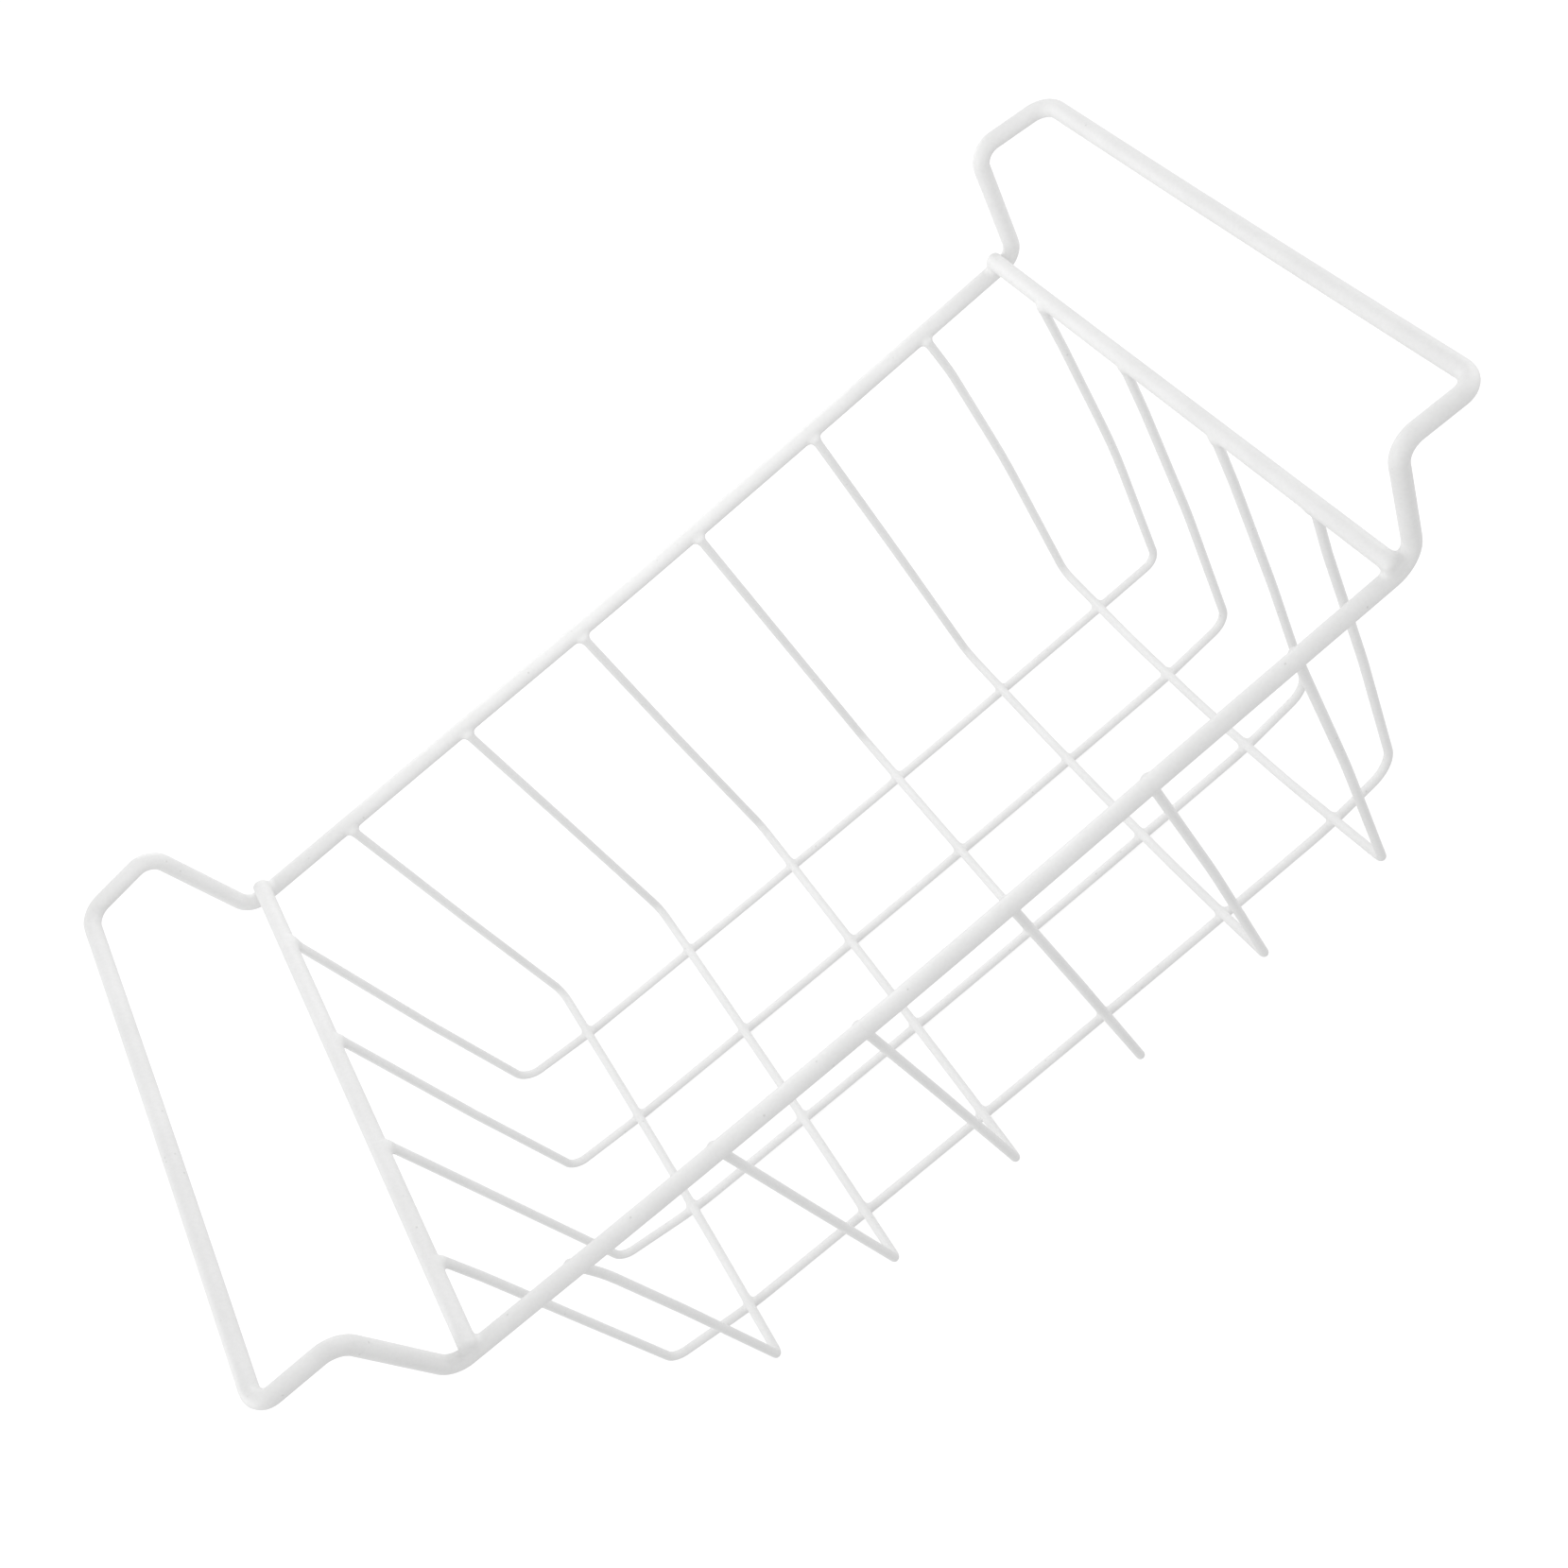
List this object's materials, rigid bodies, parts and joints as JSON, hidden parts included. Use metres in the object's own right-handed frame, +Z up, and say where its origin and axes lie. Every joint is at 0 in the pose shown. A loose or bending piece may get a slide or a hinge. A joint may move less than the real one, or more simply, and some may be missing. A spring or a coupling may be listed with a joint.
{
  "type": "freezer basket",
  "caption": "Open-topped hanging wire basket for a chest freezer, white coated steel wire with a heavier rim that bends up into a handle loop at each end.",
  "frame": {"origin": "centre of the basket's outline in plan, at the height of the lowest point of its bottom wires, which is what it stands on", "axes": "+Z up, +X along the long side from one handle to the other, +Y across from the near rail to the far rail"},
  "size_m": [0.4314, 0.2124, 0.1974],
  "materials": {
    "coated_wire": "semi-gloss"
  },
  "bodies": {
    "root": {"frame_wire": "coated_wire", "end_bar_left": "coated_wire", "end_bar_right": "coated_wire", "long_wire_1": "coated_wire", "long_wire_2": "coated_wire", "long_wire_3": "coated_wire", "long_wire_4": "coated_wire", "cross_wire_1": "coated_wire", "cross_wire_2": "coated_wire", "cross_wire_3": "coated_wire", "cross_wire_4": "coated_wire", "cross_wire_5": "coated_wire", "cross_wire_6": "coated_wire"}
  },
  "joints": []
}
